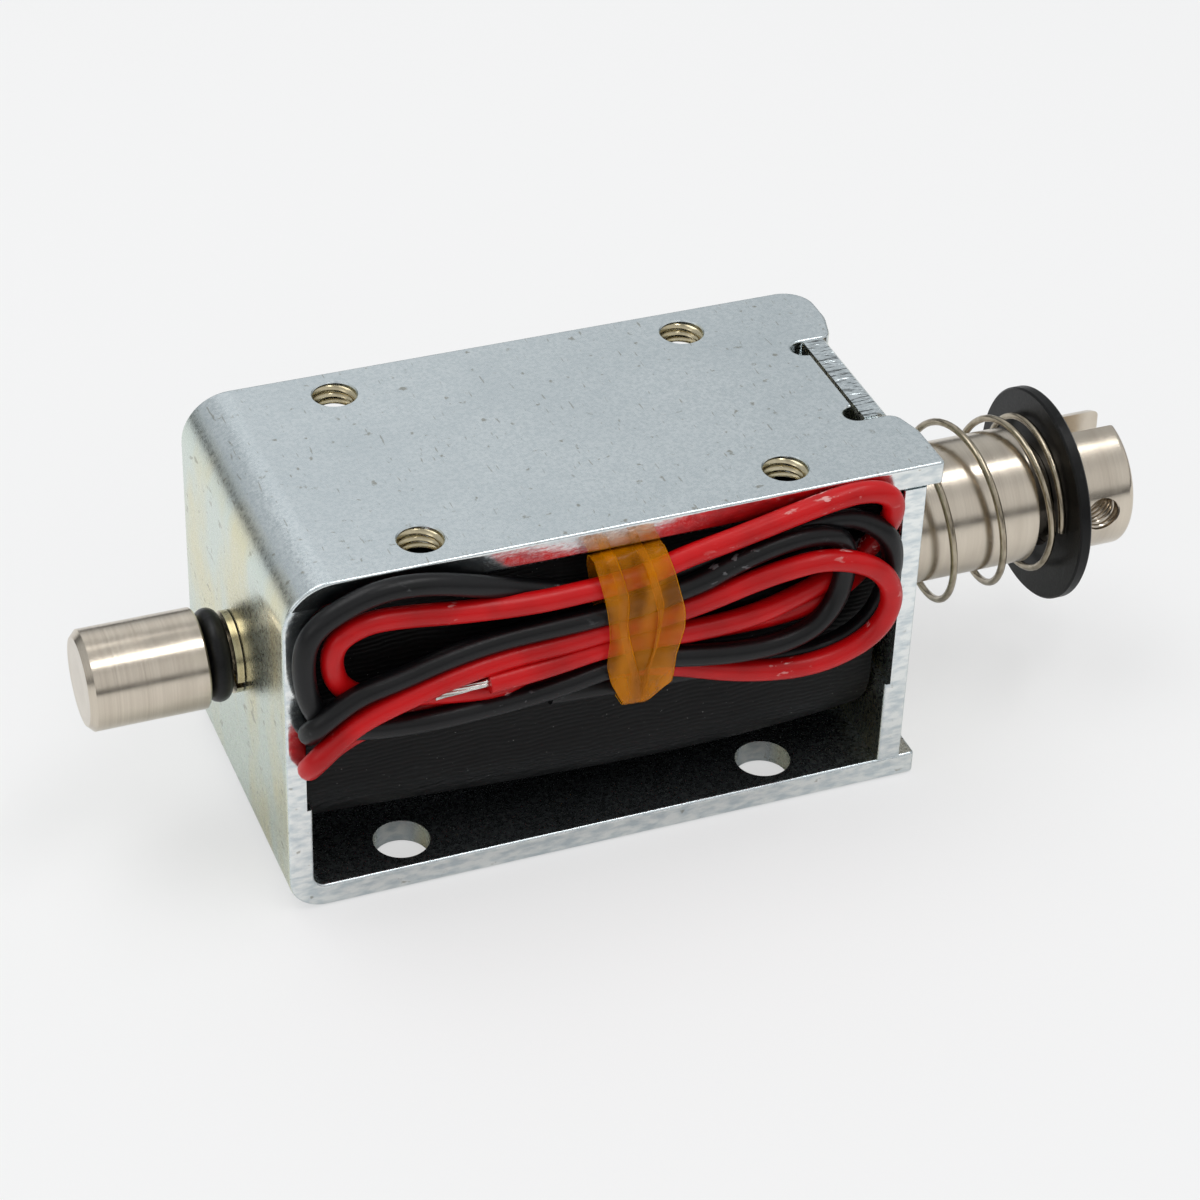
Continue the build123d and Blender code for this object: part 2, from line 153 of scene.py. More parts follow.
print("white is", [round(c, 2) for c in paint("#ffffff")])

# %% [markdown]
# ## Zinc plated steel
# The frame is stamped from steel sheet and then plated with zinc, which is passivated to keep it bright.
# Zinc gives the eye a pale blue-grey metal with soft reflections and a fine speckle. The passivate is thinner
# than a wave of light in places, so it tints the metal faintly yellow and green. The sheared edges of the
# strip are smoother and brighter, with streaks along the cut and darker spots where the plating is thin. They
# are found by their direction, as they are the faces that look along Y. The cutting tool has rolled the edge
# of the top plate under by EDGE_ROLL mm, so it mirrors the wires below it.


# %% Zinc plated steel
TOP_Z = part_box("frame_channel")[1].z
SHEET = 2.0
EDGE_ROLL = 0.45


def zinc_plated_steel(name, marks=0.0):
    """Passivated zinc on stamped sheet. Marks is how deep the end of a peened tab is hammered, in mm."""
    material, tree = empty_material(name)
    place = add_node(tree, "TexCoord").outputs["Object"]
    height = add_node(tree, "SeparateXYZ", place).outputs[2]
    facing = add_node(tree, "SeparateXYZ", add_node(tree, "NewGeometry").outputs["Normal"])
    along_x = add_node(tree, "Math", facing.outputs[0], operation="ABSOLUTE")
    along_y = add_node(tree, "Math", facing.outputs[1], operation="ABSOLUTE")
    endwise = add_node(tree, "MapRange", along_x, 0.6, 0.95, 0.0, 0.75)
    sheared = add_node(tree, "MapRange", along_y, 0.75, 0.97)

    # A fine speckle in soft clouds, greenish on the walls and pale on the sheared edges
    speckle = grain(tree, 0.3, detail=5.0)
    clouds = grain(tree, 9.0, detail=2.0, seed=4.0)
    tint = grain(tree, 6.0, stretch=(1, 1, 2), detail=3.0, seed=11.0)
    sheet_grain = grain(tree, 0.35, stretch=(4, 1, 1.5), seed=3.0)
    metal = add_node(tree, "ValToRGB", speckle, stops=((0.35, paint("#cdd6d9")), (0.65, paint("#e0e7e9"))))
    clouded = add_node(tree, "MapRange", clouds, 0.4, 0.7, 0.0, 0.35)
    cloudy = add_node(tree, "Mix", clouded, metal, paint("#c3cdd1"), data_type="RGBA")
    greenish = add_node(tree, "ValToRGB", tint, stops=((0.4, paint("#d9e3d6")), (0.62, paint("#e6dfb4"))))
    passivated = add_node(tree, "Mix", endwise, cloudy, greenish, data_type="RGBA")
    pale = add_node(tree, "ValToRGB", sheet_grain, stops=((0.35, paint("#cfd8db")), (0.6, paint("#f2f5f3"))))
    bright = add_node(tree, "Mix", sheared, passivated, pale, data_type="RGBA")

    # Dark spots everywhere, and short dark lines away from the sheared edges
    spots = add_node(tree, "MapRange", grain(tree, 0.9, detail=5.0, seed=21.0), 0.66, 0.72, 0.0, 0.6)
    streaks = grain(tree, 0.8, stretch=(0.35, 2.5, 1), detail=2.0, seed=31.0)
    lines = add_node(tree, "MapRange", streaks, 0.68, 0.72, 0.0, 0.5)
    elsewhere = add_node(tree, "Math", 1.0, sheared, operation="SUBTRACT")
    lines_elsewhere = add_node(tree, "Math", lines, elsewhere, operation="MULTIPLY")
    marked = add_node(tree, "Math", spots, lines_elsewhere, operation="MAXIMUM")
    stained = add_node(tree, "Mix", marked, bright, paint("#857f6c"), data_type="RGBA")
    satin = add_node(tree, "MapRange", speckle, 0.3, 0.7, 0.22, 0.34)
    smoother = add_node(tree, "Math", sheared, 0.12, operation="MULTIPLY")
    rough = add_node(tree, "Math", satin, smoother, operation="SUBTRACT")

    # The rolled edge, the speckle, fine scratches, and the hammered end of a tab
    rolled = add_node(tree, "MapRange", height, TOP_Z - SHEET * MM, TOP_Z)
    rolled_edge = add_node(tree, "Math", rolled, sheared, operation="MULTIPLY")
    turned_under = add_node(tree, "Bump", Height=rolled_edge, Distance=EDGE_ROLL * MM)
    grained = add_node(tree, "Bump", Height=speckle, Distance=0.008 * MM, Normal=turned_under)
    scratches = grain(tree, 0.35, stretch=(7, 1, 1), detail=4.0, seed=7.0)
    relief = add_node(tree, "Bump", Height=scratches, Distance=0.008 * MM, Normal=grained)
    if marks:
        near_top = add_node(tree, "MapRange", height, TOP_Z - 0.5 * MM, TOP_Z - 0.1 * MM)
        ridges = grain(tree, 0.7, stretch=(3, 1, 1), detail=2.0, seed=9.0)
        hammered = add_node(tree, "Math", ridges, near_top, operation="MULTIPLY")
        relief = add_node(tree, "Bump", Height=hammered, Distance=marks * MM, Normal=relief)
    shader = add_node(tree, "BsdfPrincipled", Base_Color=stained, Metallic=1.0, Roughness=rough,
                      Normal=relief)
    add_node(tree, "OutputMaterial", Surface=shader)
    return material


zinc = zinc_plated_steel("passivated_zinc")
peened_zinc = zinc_plated_steel("hammered_passivated_zinc", marks=0.38)
print("made", zinc.name, "and", peened_zinc.name)

# %% [markdown]
# ## Turned stainless steel
# The plunger, its rod and the cap are turned on a lathe and lightly polished. The tool leaves rings round the
# axis, which spread each highlight along the piece and leave it sharp across. On an end face the same rings
# show as circles. The place along the axis and the distance from it are the two coordinates that the rings
# follow.


# %% Turned steel
AXIS_Z = (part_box("end_cap")[0].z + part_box("end_cap")[1].z) / 2


def turned_metal(name, dark, light, roughness, ring_mm=0.12, depth_mm=0.002):
    """Metal with tool rings round the plunger's axis."""
    material, tree = empty_material(name)
    place = add_node(tree, "SeparateXYZ", add_node(tree, "TexCoord").outputs["Object"])
    rise = add_node(tree, "Math", place.outputs[2], AXIS_Z, operation="SUBTRACT")
    rise_squared = add_node(tree, "Math", rise, rise, operation="MULTIPLY")
    side_squared = add_node(tree, "Math", place.outputs[1], 2.0, operation="POWER")
    radius_squared = add_node(tree, "Math", rise_squared, side_squared, operation="ADD")
    radius = add_node(tree, "Math", radius_squared, operation="SQRT")
    rings = add_node(tree, "CombineXYZ", place.outputs[0], radius, 0.0)
    cut = grain(tree, ring_mm, detail=2.0, place=rings)
    wide = grain(tree, ring_mm * 12, detail=2.0, place=rings, seed=5.0)
    smudges = grain(tree, 2.2, stretch=(1, 2, 2), detail=4.0, seed=13.0)
    both = add_node(tree, "Math", cut, wide, operation="ADD")
    mean = add_node(tree, "Math", both, 0.5, operation="MULTIPLY")
    toned = add_node(tree, "ValToRGB", mean, stops=((0.2, dark), (0.8, light)))
    worn = add_node(tree, "MapRange", smudges, 0.6, 0.75, 0.0, 0.35)
    colour = add_node(tree, "Mix", worn, toned, dark, data_type="RGBA")
    rough = add_node(tree, "MapRange", smudges, 0.3, 0.7, roughness, roughness + 0.08)
    relief = add_node(tree, "Bump", Height=cut, Distance=depth_mm * MM)
    shader = add_node(tree, "BsdfPrincipled", Base_Color=colour, Metallic=1.0, Roughness=rough, Normal=relief)
    add_node(tree, "OutputMaterial", Surface=shader)
    return material


stainless = turned_metal("turned_stainless_steel", paint("#c2b6a6"), paint("#e2d8c8"), 0.18)
golden_steel = turned_metal("passivated_ring_steel", paint("#b3a584"), paint("#ddd3b6"), 0.18, ring_mm=0.3)
iron = turned_metal("turned_soft_iron", paint("#8c8984"), paint("#aaa69f"), 0.3)
brass = turned_metal("drawn_brass", paint("#b08d45"), paint("#d9bd77"), 0.22, ring_mm=0.4)
print("the plunger's axis is", round(AXIS_Z / MM, 2), "mm up")

# %% [markdown]
# ## Spring wire
# The spring is wound from hard drawn stainless wire. Drawing through a die leaves fine lines along the wire
# and a warm grey, slightly golden skin.


# %% Spring wire
def drawn_wire(name):
    """Hard drawn wire with a smooth warm skin."""
    material, tree = empty_material(name)
    streaks = grain(tree, 0.25, stretch=(1, 4, 4), detail=3.0)
    warm = add_node(tree, "ValToRGB", streaks, stops=((0.3, paint("#8f8472")), (0.7, paint("#bdb29e"))))
    relief = add_node(tree, "Bump", Height=streaks, Distance=0.004 * MM)
    shader = add_node(tree, "BsdfPrincipled", Base_Color=warm, Metallic=1.0, Roughness=0.24, Normal=relief)
    add_node(tree, "OutputMaterial", Surface=shader)
    return material


spring_wire = drawn_wire("drawn_spring_wire")

# %% [markdown]
# ## Tinned copper
# The cut ends of the leads are dipped in solder, which is bright and flows over the strands.


# %% Tinned copper
def solder_dipped(name):
    """Bright solder over copper strands."""
    material, tree = empty_material(name)
    flow = grain(tree, 0.5, stretch=(3, 1, 1), detail=3.0)
    solder = add_node(tree, "ValToRGB", flow, stops=((0.3, paint("#b9b8b2")), (0.6, paint("#f0efea"))))
    relief = add_node(tree, "Bump", Height=flow, Distance=0.03 * MM)
    shader = add_node(tree, "BsdfPrincipled", Base_Color=solder, Metallic=1.0, Roughness=0.2, Normal=relief)
    add_node(tree, "OutputMaterial", Surface=shader)
    return material


tinned = solder_dipped("solder_dipped_copper")

# %% [markdown]
# ## PVC insulation
# The leads are stranded copper in extruded PVC. PVC is a soft plastic with a satin skin, so its highlights
# are broad. Rubbing on the frame leaves small pale scuffs, which lie in groups. Their pale colour is partly
# the scuffs' own and partly painted glint, light caught by the scratches.


# %% PVC insulation
def pvc_insulation(name, deep, main, scuff_and_glint_colour, roughness):
    """Extruded PVC with a satin skin, and small pale scuffs that are partly painted glints."""
    material, tree = empty_material(name)
    shade = add_node(tree, "ValToRGB", grain(tree, 5.0, detail=2.0), stops=((0.35, deep), (0.6, main)))
    # Small pale scuffs in groups: partly real rubbing, partly painted glints of light on the scratches
    zones = add_node(tree, "MapRange", grain(tree, 4.5, detail=1.0, seed=8.0), 0.56, 0.68)
    flakes = add_node(tree, "MapRange", grain(tree, 0.5, stretch=(2, 1, 1), detail=4.0, seed=2.0), 0.6, 0.66)
    scuffs_and_glints = add_node(tree, "Math", zones, flakes, operation="MULTIPLY")
    scuff_and_glint_mask = add_node(tree, "Math", scuffs_and_glints, 0.6, operation="MULTIPLY")
    colour = add_node(tree, "Mix", scuff_and_glint_mask, shade, scuff_and_glint_colour, data_type="RGBA")
    fine = grain(tree, 0.25, detail=3.0, seed=1.0)
    rough = add_node(tree, "MapRange", fine, 0.3, 0.7, roughness, roughness + 0.1)
    uneven = add_node(tree, "Bump", Height=fine, Distance=0.01 * MM)
    relief = add_node(tree, "Bump", Height=scuff_and_glint_mask, Distance=0.03 * MM, Normal=uneven)
    shader = add_node(tree, "BsdfPrincipled", Base_Color=colour, Roughness=rough, IOR=1.53,
                      Specular_IOR_Level=0.3, Normal=relief)
    add_node(tree, "OutputMaterial", Surface=shader)
    return material


# The pale colours #f3c9c4 and #77787a are the scuffs, partly real and partly painted glint
red_pvc = pvc_insulation("red_pvc", paint("#b00408"), paint("#cf0a10"), paint("#f3c9c4"), 0.3)
black_pvc = pvc_insulation("black_pvc", paint("#060607"), paint("#0d0d0f"), paint("#77787a"), 0.32)

# %% [markdown]
# ## Cloth tape
# The coil is wrapped in black cloth tape. The threads across the tape show as fine ribs, RIB_SPACING mm
# apart, wavy because the tape was pulled by hand, with a few pale specks of dust. It is dark because it takes
# in nearly all the light, with a faint sheen from its coating.

# %% Cloth tape
RIB_SPACING = 0.42
RIB_SWAY = 1.1


def cloth_tape(name):
    """Black coated cloth with wavy ribs."""
    material, tree = empty_material(name)
    place = add_node(tree, "SeparateXYZ", add_node(tree, "TexCoord").outputs["Object"])
    waves = grain(tree, 4.0, detail=2.0, seed=3.0)
    sway = add_node(tree, "Math", waves, RIB_SWAY * MM, operation="MULTIPLY")
    straight = add_node(tree, "Math", place.outputs[2], place.outputs[1], operation="ADD")
    across = add_node(tree, "Math", straight, sway, operation="ADD")
    turns = add_node(tree, "Math", across, tau / (RIB_SPACING * MM), operation="MULTIPLY")
    rib = add_node(tree, "Math", turns, operation="SINE")
    low_rib = add_node(tree, "Math", rib, 0.3, operation="MULTIPLY")
    weave = add_node(tree, "Math", low_rib, grain(tree, 0.22, stretch=(3, 1, 1), detail=3.0), operation="ADD")
    dust = add_node(tree, "MapRange", grain(tree, 0.22, detail=2.0, seed=17.0), 0.73, 0.78)
    cloth = add_node(tree, "ValToRGB", weave, stops=((0.2, paint("#040404")), (0.9, paint("#131313"))))
    colour = add_node(tree, "Mix", dust, cloth, paint("#8b8b88"), data_type="RGBA")
    creases = grain(tree, 3.5, stretch=(2, 1, 1), detail=2.0, seed=6.0)
    folds = add_node(tree, "Bump", Height=creases, Distance=0.5 * MM)
    relief = add_node(tree, "Bump", Height=weave, Distance=0.05 * MM, Normal=folds)
    shader = add_node(tree, "BsdfPrincipled", Base_Color=colour, Roughness=0.55, Specular_IOR_Level=0.2,
                      Normal=relief)
    add_node(tree, "OutputMaterial", Surface=shader)
    return material


tape = cloth_tape("coated_cloth_tape")

# %% [markdown]
# ## Rubber, moulded plastic and enamelled wire
# The bumper is a moulded rubber ring, dark with a soft sheen. The washer and the bobbin are moulded nylon,
# with a satin skin. The winding is copper wire under clear enamel, in turns side by side round the axis, and
# its copper is painted darker in the grooves between turns and brighter on their crowns: painted shade and
# highlight.

# %% Rubber, plastic and enamelled wire
TURN_SPACING = 0.3


def moulded(name, dark, light, roughness, skin_mm):
    """A moulded material with a fine skin."""
    material, tree = empty_material(name)
    fine = grain(tree, 0.2, detail=4.0)
    marks = grain(tree, 0.7, stretch=(1, 1, 4), detail=4.0, seed=5.0)
    marked = add_node(tree, "MapRange", marks, 0.62, 0.75, 0.0, 0.4)
    tone = add_node(tree, "ValToRGB", fine, stops=((0.35, dark), (0.7, light)))
    colour = add_node(tree, "Mix", marked, tone, paint("#2c2d2f"), data_type="RGBA")
    rough = add_node(tree, "MapRange", fine, 0.3, 0.7, roughness, roughness + 0.12)
    relief = add_node(tree, "Bump", Height=fine, Distance=skin_mm * MM)
    shader = add_node(tree, "BsdfPrincipled", Base_Color=colour, Roughness=rough, Specular_IOR_Level=0.25,
                      Normal=relief)
    add_node(tree, "OutputMaterial", Surface=shader)
    return material


def enamelled_winding(name):
    """Turns of enamelled wire side by side along the axis, painted darker in the grooves and brighter on the
    crowns.
    """
    material, tree = empty_material(name)
    place = add_node(tree, "SeparateXYZ", add_node(tree, "TexCoord").outputs["Object"])
    along = add_node(tree, "Math", place.outputs[0], tau / (TURN_SPACING * MM), operation="MULTIPLY")
    turns = add_node(tree, "Math", along, operation="SINE")
    # Painted shade and highlight: the copper darkens into the grooves between turns and brightens on their
    # crowns
    copper = add_node(tree, "ValToRGB", turns, stops=((0.0, paint("#5c2c14")), (1.0, paint("#b8662f"))))
    relief = add_node(tree, "Bump", Height=turns, Distance=0.08 * MM)
    shader = add_node(tree, "BsdfPrincipled", Base_Color=copper, Metallic=0.8, Roughness=0.25,
                      Coat_Weight=0.6, Normal=relief)
    add_node(tree, "OutputMaterial", Surface=shader)
    return material


rubber = moulded("moulded_rubber", paint("#0a0a0b"), paint("#131314"), 0.28, 0.004)
nylon = moulded("moulded_nylon", paint("#030303"), paint("#070707"), 0.32, 0.006)
winding = enamelled_winding("enamelled_copper")

# %% [markdown]
# ## Polyimide film
# The leads are tied with a few turns of amber polyimide film. One layer is clear and glossy, so the wires
# show through it in orange and olive, and where layers overlap it turns opaque. That share is the material's
# alpha, which is higher near the foot. Light that enters the film leaves at its cut edges, and this glow is
# painted: the cut edges get a brighter amber colour.

# %% Polyimide film
GATHER_TOP_Z = 20.5
GATHER_FOOT_Z = 16.5


def polyimide_film(name):
    """Amber film, clear in one layer and more opaque where layers gather near its foot."""
    material, tree = empty_material(name)
    layers = grain(tree, 2.0, stretch=(1, 1, 3), detail=3.0)
    amber = add_node(tree, "ValToRGB", layers, stops=((0.35, paint("#bf7000")), (0.65, paint("#e89000"))))
    height = add_node(tree, "SeparateXYZ", add_node(tree, "TexCoord").outputs["Object"]).outputs[2]
    gathered = add_node(tree, "MapRange", height, GATHER_TOP_Z * MM, GATHER_FOOT_Z * MM, 0.0, 0.25)
    single = add_node(tree, "MapRange", layers, 0.35, 0.65, 0.22, 0.38)
    opaque = add_node(tree, "Math", single, gathered, operation="ADD")
    crinkle = grain(tree, 1.2, stretch=(1, 1, 3), detail=2.0, seed=4.0)
    relief = add_node(tree, "Bump", Height=crinkle, Distance=0.08 * MM)
    shader = add_node(tree, "BsdfPrincipled", Base_Color=amber, Roughness=0.2, IOR=1.5, Alpha=opaque,
                      Specular_IOR_Level=0.22, Normal=relief)
    add_node(tree, "OutputMaterial", Surface=shader)
    return material


def film_rim_painted_glow(name):
    """The cut edge of the film, painted brighter as a glow where the light inside it comes out."""
    material, tree = empty_material(name)
    # The brighter amber of the cut edge is a painted glow of light leaving the film
    shader = add_node(tree, "BsdfPrincipled", Base_Color=paint("#ffb400"), Roughness=0.3)
    add_node(tree, "OutputMaterial", Surface=shader)
    return material


film = polyimide_film("amber_polyimide_film")
film_edge = film_rim_painted_glow("amber_film_edge_painted_glow")

# %% [markdown]
# ## Finishes on the CAD pieces
# The rigid pieces keep their CAD shape, and only their material is set.

# %% Give each CAD piece its finish
FINISHES = {
    "frame_channel": zinc,
    "end_plate": peened_zinc,
    "pole_piece": iron,
    "guide_tube": brass,
    "bobbin": nylon,
    "coil_winding": winding,
    "coil_wrap": tape,
    "plunger": stainless,
    "push_rod": stainless,
    "end_cap": stainless,
    "bumper_ring": rubber,
    "stop_ring": golden_steel,
    "spring_washer": nylon,
    "return_spring": spring_wire,
    "red_lead": red_pvc,
    "black_lead": black_pvc,
    "lead_hank": red_pvc,
    "lead_band": film,
    "red_lead_end": tinned,
    "black_lead_end": tinned,
}
for node_name, finish in FINISHES.items():
    nodes[node_name].data.materials.clear()
    nodes[node_name].data.materials.append(finish)
print("finishes set:", len(FINISHES))

# %% [markdown]
# ## The two leads
# Each lead is one wire about a quarter of a metre long, folded into a flat hank and tied, so it could be a
# swept mesh, a simulated cable or a curve. A curve is best here: its line is the wire's own centre line, and
# a round bevel gives it its thickness. The points are listed in millimetres, and the smooth spline passes
# close inside them. The first three lie on the CAD model's own route. A wire comes out behind the hank, and
# each fold is a loop on the left or on the right of the band. The strands lie in layers: those at the back
# touch the tape, with their middles at y -13, and those in front reach y -15.75.

# %% Routes of the leads
RED_POINTS = [
    # Out of the tape, back across behind the band, and folded at the far left
    (22.2, -10.35, 19.9), (19.6, -12.2, 19.6), (16.5, -12.975, 19.0), (13.5, -12.975, 18.6),
    (10.6, -12.975, 18.6), (2.0, -13.0, 18.8), (-4.0, -13.0, 19.1), (-8.5, -13.0, 19.0),
    (-12.5, -13.0, 17.6), (-16.5, -13.0, 16.7), (-20.3, -13.0, 16.1), (-22.5, -13.0, 15.0),
    (-23.9, -13.3, 14.0), (-25.2, -14.6, 14.4), (-24.9, -15.7, 15.9),
    # Front strand that rises to the right, and the large loop there
    (-23.4, -15.6, 17.2), (-21.3, -15.5, 18.8), (-17.4, -15.5, 20.1), (-13.4, -15.2, 21.0),
    (-9.3, -14.9, 21.4), (-5.3, -14.8, 21.5), (-1.5, -14.4, 21.6), (2.8, -14.4, 21.8), (6.8, -14.8, 22.8),
    (10.3, -15.1, 24.0), (13.2, -15.4, 24.7), (15.4, -15.7, 25.1), (17.8, -15.75, 24.6),
    (20.0, -15.75, 23.5), (21.5, -15.7, 21.8), (22.0, -15.5, 19.7), (21.6, -15.3, 17.8),
    (20.5, -15.1, 16.3), (18.8, -14.9, 15.2), (16.3, -14.9, 14.6), (13.3, -14.7, 14.5), (9.0, -14.5, 15.3),
    (5.1, -13.8, 16.3), (1.5, -13.1, 16.9),
    # Behind the others to the small loop on the left
    (-3.0, -13.0, 17.0), (-6.3, -13.0, 17.4), (-9.8, -14.3, 18.3), (-13.5, -14.4, 18.8),
    (-17.6, -14.2, 19.4), (-20.8, -14.0, 19.8), (-22.5, -14.0, 21.4), (-23.1, -14.4, 23.7),
    (-22.9, -14.6, 25.5), (-21.7, -14.6, 26.5), (-19.9, -14.6, 27.0), (-17.1, -14.6, 26.8),
    (-13.2, -14.6, 26.2), (-7.6, -14.9, 25.9), (-3.4, -14.5, 25.7), (-0.6, -14.3, 25.7),
    # Up to the top loop on the right, and back to the cut end
    (2.1, -14.3, 26.1), (5.2, -14.3, 27.0), (8.2, -14.6, 27.8), (11.3, -14.6, 28.5), (14.3, -14.6, 29.2),
    (16.8, -14.6, 29.7), (18.8, -14.6, 29.9), (20.6, -14.6, 29.6), (21.8, -14.5, 28.6), (22.1, -14.2, 27.0),
    (21.9, -13.2, 24.8), (20.9, -12.6, 22.9), (19.2, -12.6, 21.5), (17.2, -12.9, 20.8), (14.4, -13.6, 20.4),
    (10.8, -14.5, 20.2), (6.6, -14.6, 20.0), (2.4, -14.4, 20.1), (-1.7, -14.4, 20.1), (-5.8, -15.1, 20.0),
    (-9.5, -15.4, 19.9), (-11.2, -15.4, 19.8),
]
BLACK_POINTS = [
    # Out of the tape, back across behind the band, and folded at the far left
    (22.2, -10.35, 23.2), (19.6, -12.2, 23.3), (16.5, -12.975, 23.4), (13.5, -12.975, 22.8),
    (10.6, -12.975, 22.4), (3.0, -13.0, 20.8), (-5.0, -13.0, 20.9), (-10.5, -13.0, 20.2),
    (-15.5, -13.0, 18.7), (-20.3, -13.0, 18.1), (-22.3, -13.0, 17.7), (-23.8, -13.1, 17.1),
    (-25.0, -14.3, 17.5), (-24.7, -15.4, 18.8),
    # Front strand that rises to the right, and the inner loop there
    (-23.3, -15.5, 20.0), (-21.2, -15.3, 21.1), (-18.3, -15.2, 21.6), (-15.3, -15.0, 22.3),
    (-12.3, -14.8, 22.8), (-9.2, -14.7, 23.1), (-5.3, -14.7, 23.2), (-1.7, -14.4, 23.1), (1.9, -14.4, 23.4),
    (4.5, -14.4, 24.0), (6.4, -14.6, 24.6), (8.4, -14.6, 25.5), (11.4, -14.6, 26.4), (13.9, -14.6, 26.8),
    (16.0, -14.5, 26.6), (17.4, -14.4, 26.0), (18.2, -14.2, 24.8), (18.4, -14.2, 23.3), (18.3, -14.1, 21.5),
    (17.8, -14.2, 19.9), (16.9, -14.3, 18.6), (15.4, -14.5, 17.6), (12.7, -14.6, 17.0), (9.3, -14.8, 17.2),
    (5.6, -14.8, 17.8),
    # Across to the outer loop on the left
    (2.1, -14.4, 18.3), (-1.5, -14.4, 18.0), (-5.1, -14.7, 17.5), (-9.1, -14.7, 17.1), (-13.1, -14.7, 16.9),
    (-16.0, -14.6, 16.8), (-18.4, -14.4, 16.8), (-20.5, -14.3, 17.0), (-22.5, -14.3, 17.5),
    (-23.9, -14.3, 18.7), (-24.8, -14.5, 20.6), (-25.2, -14.55, 22.9), (-25.2, -14.6, 25.0),
    (-24.8, -14.6, 26.5), (-23.9, -14.6, 27.6), (-22.4, -14.6, 28.5), (-20.1, -14.6, 29.4),
    (-17.6, -14.6, 29.6), (-14.8, -14.6, 29.2), (-11.7, -14.4, 28.1), (-8.0, -13.5, 26.4),
    (-4.2, -13.0, 24.9), (-0.4, -13.0, 24.4), (4.5, -13.0, 24.7),
    # Behind the others to the outer loop on the right, and to the cut end behind the band
    (9.5, -13.0, 25.6), (13.7, -13.1, 26.5), (16.8, -13.4, 27.1), (18.9, -13.9, 27.2), (20.5, -14.4, 26.4),
    (21.7, -14.7, 25.1), (22.3, -14.4, 23.0), (22.4, -13.9, 20.8), (22.2, -13.4, 18.3), (21.3, -13.1, 16.3),
    (19.5, -13.0, 14.9), (17.2, -13.0, 14.3), (13.5, -13.0, 14.4), (9.5, -13.0, 14.9), (5.0, -13.0, 15.1),
    (0.0, -13.0, 15.2), (-5.4, -13.0, 15.6),
]
LEAD_DIAMETER = 1.75
print("points chosen:", len(RED_POINTS), "red and", len(BLACK_POINTS), "black")


# %% Leads as curves
STEPS_BETWEEN_POINTS = 5
BEVEL_STEPS = 5


def lead(name, points, material):
    """One wire along a smooth spline, with a round bevel of its own thickness."""
    curve = bpy.data.curves.new(name, "CURVE")
    curve.dimensions = "3D"
    spline = curve.splines.new("NURBS")
    spline.points.add(len(points) - 1)
    for point, (x, y, z) in zip(spline.points, points):
        point.co = (x * MM, y * MM, z * MM, 1)
    spline.order_u = 3
    spline.use_endpoint_u = True
    spline.resolution_u = STEPS_BETWEEN_POINTS
    curve.bevel_depth = LEAD_DIAMETER / 2 * MM
    curve.bevel_resolution = BEVEL_STEPS
    curve.use_fill_caps = True
    curve.materials.append(material)
    wire = bpy.data.objects.new(name, curve)
    bpy.context.scene.collection.objects.link(wire)
    return wire


def centre_line(wire):
    """The points of the wire's own smooth line."""
    plain = wire.data.copy()
    plain.bevel_depth = 0
    carrier = bpy.data.objects.new("carrier", plain)
    line = bpy.data.meshes.new_from_object(carrier)
    points = [vertex.co.copy() for vertex in line.vertices]
    bpy.data.objects.remove(carrier)
    bpy.data.curves.remove(plain)
    bpy.data.meshes.remove(line)
    return points


def line_length(points):
    """Length of a line through the points."""
    return sum((after - before).length for before, after in zip(points, points[1:]))


red_wire = lead("red_wire", RED_POINTS, red_pvc)
black_wire = lead("black_wire", BLACK_POINTS, black_pvc)
for wire in (red_wire, black_wire):
    print(wire.name, "is", round(line_length(centre_line(wire)) / MM, 1), "mm long")

# %% [markdown]
# ## Meshes from rows of points
# The band, the spring, the threads and the bare strands are all skins over rows of points, so one function
# joins neighbouring rows with faces.


# %% Skins over rows of points
def skin(name, rows, material, close_rows=False, close_ends=False, smooth=True):
    """A mesh through rows of points, each row closed into a ring where close_rows is true."""
    form = bmesh.new()
    verts = [[form.verts.new(point) for point in row] for row in rows]
    count = len(rows[0])
    across = count if close_rows else count - 1
    for near, far in zip(verts, verts[1:]):
        for i in range(across):
            j = (i + 1) % count
            form.faces.new((near[i], near[j], far[j], far[i]))
    if close_ends:
        form.faces.new(list(reversed(verts[0])))
        form.faces.new(verts[-1])
    bmesh.ops.recalc_face_normals(form, faces=form.faces)
    mesh = bpy.data.meshes.new(name)
    form.to_mesh(mesh)
    form.free()
    mesh.materials.append(material)
    for face in mesh.polygons:
        face.use_smooth = smooth
    piece = bpy.data.objects.new(name, mesh)
    bpy.context.scene.collection.objects.link(piece)
    return piece


def tube_rows(points, radius, sides):
    """Rings of points round a line, each ring square to it."""
    rows = []
    side = (points[1] - points[0]).orthogonal().normalized()
    for i, point in enumerate(points):
        ahead = points[min(i + 1, len(points) - 1)] - points[max(i - 1, 0)]
        ahead.normalize()
        side = (side - ahead * side.dot(ahead)).normalized()
        other = ahead.cross(side)
        angles = [tau * k / sides for k in range(sides)]
        rows.append([point + (side * cos(a) + other * sin(a)) * radius for a in angles])
    return rows


# %% [markdown]
# ## The return spring
# The wire goes round one turn nearly closed at the frame, OPEN_TURNS turns that narrow, and one closed turn
# at the washer. It has to flatten when the plunger goes in, so it is a mesh of its own. Its height along the
# axis is a formula of the angle, and so is its radius.

